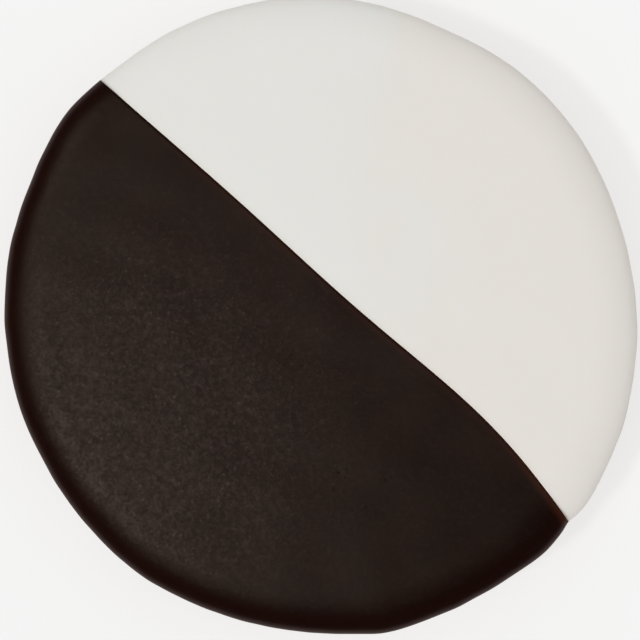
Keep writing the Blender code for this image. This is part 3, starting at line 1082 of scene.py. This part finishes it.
def make_floor():
    """A plain pale table top that glows a little, and is dimmer in the gloss than to the eye."""
    bpy.ops.mesh.primitive_plane_add(size=FLOOR_SIZE, location=(0.0, 0.0, -FLOOR_GAP))
    floor = bpy.context.object
    floor.name = "floor"
    material = bpy.data.materials.new("pale_floor")
    material.use_nodes = True
    tree = material.node_tree
    tree.nodes.clear()
    rays = tree.nodes.new("ShaderNodeLightPath")
    strength = tree.nodes.new("ShaderNodeMapRange")
    tree.links.new(rays.outputs["Is Camera Ray"], strength.inputs["Value"])
    strength.inputs["To Min"].default_value = FLOOR_BOUNCE
    strength.inputs["To Max"].default_value = FLOOR_GLOW
    diffuse = tree.nodes.new("ShaderNodeBsdfDiffuse")
    diffuse.inputs["Color"].default_value = (FLOOR_GREY, FLOOR_GREY, FLOOR_GREY, 1.0)
    glow = tree.nodes.new("ShaderNodeEmission")
    tree.links.new(strength.outputs["Result"], glow.inputs["Strength"])
    both = tree.nodes.new("ShaderNodeAddShader")
    tree.links.new(diffuse.outputs["BSDF"], both.inputs[0])
    tree.links.new(glow.outputs["Emission"], both.inputs[1])
    dim = tree.nodes.new("ShaderNodeEmission")
    dim.inputs["Strength"].default_value = FLOOR_GLOSS
    choice = tree.nodes.new("ShaderNodeMixShader")
    tree.links.new(rays.outputs["Is Glossy Ray"], choice.inputs["Fac"])
    tree.links.new(both.outputs["Shader"], choice.inputs[1])
    tree.links.new(dim.outputs["Emission"], choice.inputs[2])
    output = tree.nodes.new("ShaderNodeOutputMaterial")
    tree.links.new(choice.outputs["Shader"], output.inputs["Surface"])
    floor.data.materials.append(material)
    floor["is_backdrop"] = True


def sky_direction(bearing, elevation):
    """Unit vector to a place in the sky, from degrees."""
    bearing, elevation = math.radians(bearing), math.radians(elevation)
    return Vector((math.cos(bearing) * math.cos(elevation),
                   math.sin(bearing) * math.cos(elevation), math.sin(elevation)))


def make_key():
    """A weak soft sun that the gloss doesn't see."""
    lamp = bpy.data.lights.new("key", "SUN")
    lamp.energy = KEY_STRENGTH
    lamp.angle = math.radians(KEY_ANGLE)
    key = bpy.data.objects.new("key", lamp)
    bpy.context.scene.collection.objects.link(key)
    key.rotation_mode = "QUATERNION"
    key.rotation_quaternion = sky_direction(KEY_BEARING, KEY_ELEVATION).to_track_quat("Z", "Y")
    key.visible_glossy = False


def soft_box(tree, direction, bearing, elevation, inner, outer, level):
    """Level of one soft round box of light, by direction."""
    nearness = tree.nodes.new("ShaderNodeVectorMath")
    nearness.operation = "DOT_PRODUCT"
    tree.links.new(direction, nearness.inputs[0])
    nearness.inputs[1].default_value = sky_direction(bearing, elevation)
    box = tree.nodes.new("ShaderNodeMapRange")
    box.interpolation_type = "SMOOTHSTEP"
    tree.links.new(nearness.outputs["Value"], box.inputs["Value"])
    box.inputs["From Min"].default_value = math.cos(math.radians(outer))
    box.inputs["From Max"].default_value = math.cos(math.radians(inner))
    box.inputs["To Max"].default_value = level
    return box.outputs["Result"]


def steady(tree, level):
    """A level that is the same in all directions."""
    output = tree.nodes.new("ShaderNodeValue").outputs["Value"]
    output.default_value = level
    return output


def lit_room(tree, direction):
    """Level of the dark room with all its soft boxes, by direction."""
    room = steady(tree, ROOM_LEVEL)
    for box in BOXES:
        total = tree.nodes.new("ShaderNodeMath")
        tree.links.new(soft_box(tree, direction, *box), total.inputs[0])
        tree.links.new(room, total.inputs[1])
        room = total.outputs["Value"]
    return room


def by_ray(tree, kind, chosen, otherwise):
    """Colour that is the chosen one for rays of one kind, and the other one for all the rest."""
    node = tree.nodes.new("ShaderNodeMix")
    node.data_type = "RGBA"
    tree.links.new(kind, node.inputs[0])
    tree.links.new(otherwise, node.inputs[6])
    tree.links.new(chosen, node.inputs[7])
    return node.outputs[2]


def make_sky():
    """A fill for matt surfaces, a dark studio for the gloss and a pale backdrop to look at."""
    world = bpy.data.worlds.new("studio")
    bpy.context.scene.world = world
    world.use_nodes = True
    tree = world.node_tree
    tree.nodes.clear()
    direction = tree.nodes.new("ShaderNodeTexCoord").outputs["Generated"]
    up = tree.nodes.new("ShaderNodeSeparateXYZ")
    tree.links.new(direction, up.inputs["Vector"])
    fill = tree.nodes.new("ShaderNodeMapRange")
    tree.links.new(up.outputs["Z"], fill.inputs["Value"])
    fill.inputs["To Min"].default_value = FILL_LOW
    fill.inputs["To Max"].default_value = FILL_HIGH
    rays = tree.nodes.new("ShaderNodeLightPath")
    level = by_ray(tree, rays.outputs["Is Glossy Ray"], lit_room(tree, direction),
                   fill.outputs["Result"])
    level = by_ray(tree, rays.outputs["Is Camera Ray"], steady(tree, BACKDROP), level)
    background = tree.nodes.new("ShaderNodeBackground")
    tree.links.new(level, background.inputs["Color"])
    output = tree.nodes.new("ShaderNodeOutputWorld")
    tree.links.new(background.outputs["Background"], output.inputs["Surface"])


def make_camera():
    """Looks straight down, with the photo's right along +X."""
    lens = bpy.data.cameras.new("camera")
    lens.lens = LENS
    lens.sensor_width = SENSOR_WIDTH
    camera = bpy.data.objects.new("camera", lens)
    bpy.context.scene.collection.objects.link(camera)
    rim_height = COOKIE_HEIGHT - CROWN_DROP - ROLL_DROP
    camera.location = (CAMERA_X, CAMERA_Y, rim_height + FRAME_WIDTH * LENS / SENSOR_WIDTH)
    bpy.context.scene.camera = camera


def corners(box):
    """A box as plain lists of numbers."""
    return [list(corner) for corner in box]


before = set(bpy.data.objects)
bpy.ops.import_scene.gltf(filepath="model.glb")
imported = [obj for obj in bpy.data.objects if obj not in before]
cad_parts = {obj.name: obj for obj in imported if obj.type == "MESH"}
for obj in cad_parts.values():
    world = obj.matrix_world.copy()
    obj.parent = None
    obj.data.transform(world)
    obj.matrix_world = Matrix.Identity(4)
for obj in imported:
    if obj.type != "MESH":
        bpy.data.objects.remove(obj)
cad_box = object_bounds()
bpy.context.scene.view_settings.view_transform = "Standard"
make_camera()
make_white_icing()
make_chocolate_icing()
make_cake()
make_floor()
make_key()
make_sky()
{"cad": corners(cad_box), "visual": corners(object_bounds())}
